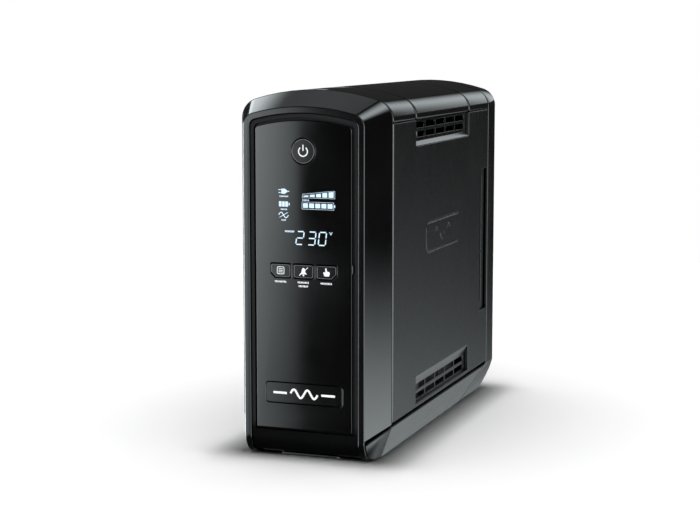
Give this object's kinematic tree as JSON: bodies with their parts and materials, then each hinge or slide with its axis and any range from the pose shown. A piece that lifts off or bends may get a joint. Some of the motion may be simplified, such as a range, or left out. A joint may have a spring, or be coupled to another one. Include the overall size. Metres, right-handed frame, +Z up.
{
  "type": "uninterruptible power supply",
  "caption": "Tower uninterruptible power supply in black plastic with an arched top, a glossy front panel with a lit display and keys, side vents and rear mains outlets.",
  "frame": {"origin": "centre of the footprint on the floor plane under the rubber feet", "axes": "+X to the right when facing the front panel, +Y from the front towards the rear wall, +Z up"},
  "size_m": [0.1, 0.265, 0.23],
  "materials": {
    "case_black": "satin",
    "side_black": "satin",
    "bezel_black": "gloss",
    "faceplate_gloss": "gloss",
    "key_plastic": "gloss",
    "foot_rubber": "matte",
    "rear_plastic": "matte",
    "outlet_plastic": "satin",
    "contact_brass": "satin",
    "plated_metal": "polished",
    "breaker_grey": "satin",
    "bay_steel": "zinc plated",
    "battery_grey": "matte",
    "lead_red": "satin",
    "lead_black": "satin",
    "core_steel": "laminated",
    "coil_wrap": "satin",
    "board_green": "satin",
    "sink_aluminium": "extruded",
    "chip_black": "matte",
    "capacitor_blue": "gloss",
    "relay_blue": "gloss",
    "inductor_copper": "enamelled",
    "display_glass": "gloss",
    "ribbon_grey": "satin",
    "fan_black": "satin",
    "screw_steel": "zinc plated"
  },
  "bodies": {
    "case": {"front_shell": "case_black", "inner_bezel": "bezel_black", "faceplate": "faceplate_gloss", "badge_plate": "faceplate_gloss", "base_pan": "case_black", "rubber_feet": "foot_rubber", "right_side_panel": "side_black", "left_side_panel": "side_black", "right_grilles": "side_black", "left_grilles": "side_black", "top_front_cover": "case_black", "top_cap": "case_black", "top_rear_cover": "case_black", "rear_shell": "case_black", "rear_panel": "rear_plastic", "inlet_plate": "rear_plastic", "port_plate": "rear_plastic", "outlet_1": "outlet_plastic", "outlet_2": "outlet_plastic", "outlet_3": "outlet_plastic", "outlet_4": "outlet_plastic", "outlet_5": "outlet_plastic", "outlet_6": "outlet_plastic", "outlet_contacts": "contact_brass", "outlet_busbars": "contact_brass", "inlet_housing": "outlet_plastic", "inlet_pins": "plated_metal", "breaker_body": "outlet_plastic", "usb_port": "plated_metal", "network_ports": "outlet_plastic", "battery_bay": "bay_steel", "battery_case": "battery_grey", "battery_terminals": "plated_metal", "red_lead": "lead_red", "black_lead": "lead_black", "transformer_core": "core_steel", "transformer_coil": "coil_wrap", "transformer_bracket": "bay_steel", "board_shelf": "bay_steel", "main_board": "board_green", "heat_sinks": "sink_aluminium", "power_transistors": "chip_black", "capacitors": "capacitor_blue", "relays": "relay_blue", "inductor": "inductor_copper", "buzzer": "chip_black", "display_board": "board_green", "lcd_module": "display_glass", "key_switches": "chip_black", "ribbon_cable": "ribbon_grey", "fan_frame": "fan_black", "rear_screws": "screw_steel", "board_screws": "screw_steel"},
    "power_button": {"power_button": "key_plastic"},
    "display_key": {"display_key": "key_plastic"},
    "mute_key": {"mute_key": "key_plastic"},
    "control_key": {"control_key": "key_plastic"},
    "breaker_button": {"breaker_button": "breaker_grey"},
    "battery_door": {"battery_door": "side_black"},
    "fan_rotor": {"fan_rotor": "fan_black"}
  },
  "joints": [
    {"name": "power_button_press", "type": "slide", "parent": "case", "child": "power_button", "axis": [0, 1, 0], "range_m": [0, 0.0012], "stiffness_N_per_m": 2083.3},
    {"name": "display_key_press", "type": "slide", "parent": "case", "child": "display_key", "axis": [0, 1, 0], "range_m": [0, 0.0008], "stiffness_N_per_m": 2000},
    {"name": "mute_key_press", "type": "slide", "parent": "case", "child": "mute_key", "axis": [0, 1, 0], "range_m": [0, 0.0008], "stiffness_N_per_m": 2000},
    {"name": "control_key_press", "type": "slide", "parent": "case", "child": "control_key", "axis": [0, 1, 0], "range_m": [0, 0.0008], "stiffness_N_per_m": 2000},
    {"name": "breaker_pop", "type": "slide", "parent": "case", "child": "breaker_button", "axis": [0, 1, 0], "range_m": [0, 0.003]},
    {"name": "battery_door_slide", "type": "slide", "parent": "case", "child": "battery_door", "axis": [0, -1, 0], "range_m": [0, 0.026]},
    {"name": "fan_spin", "type": "hinge", "parent": "case", "child": "fan_rotor", "pos_m": [0, 0.0865, 0.127], "axis": [0, 1, 0], "continuous": true}
  ]
}
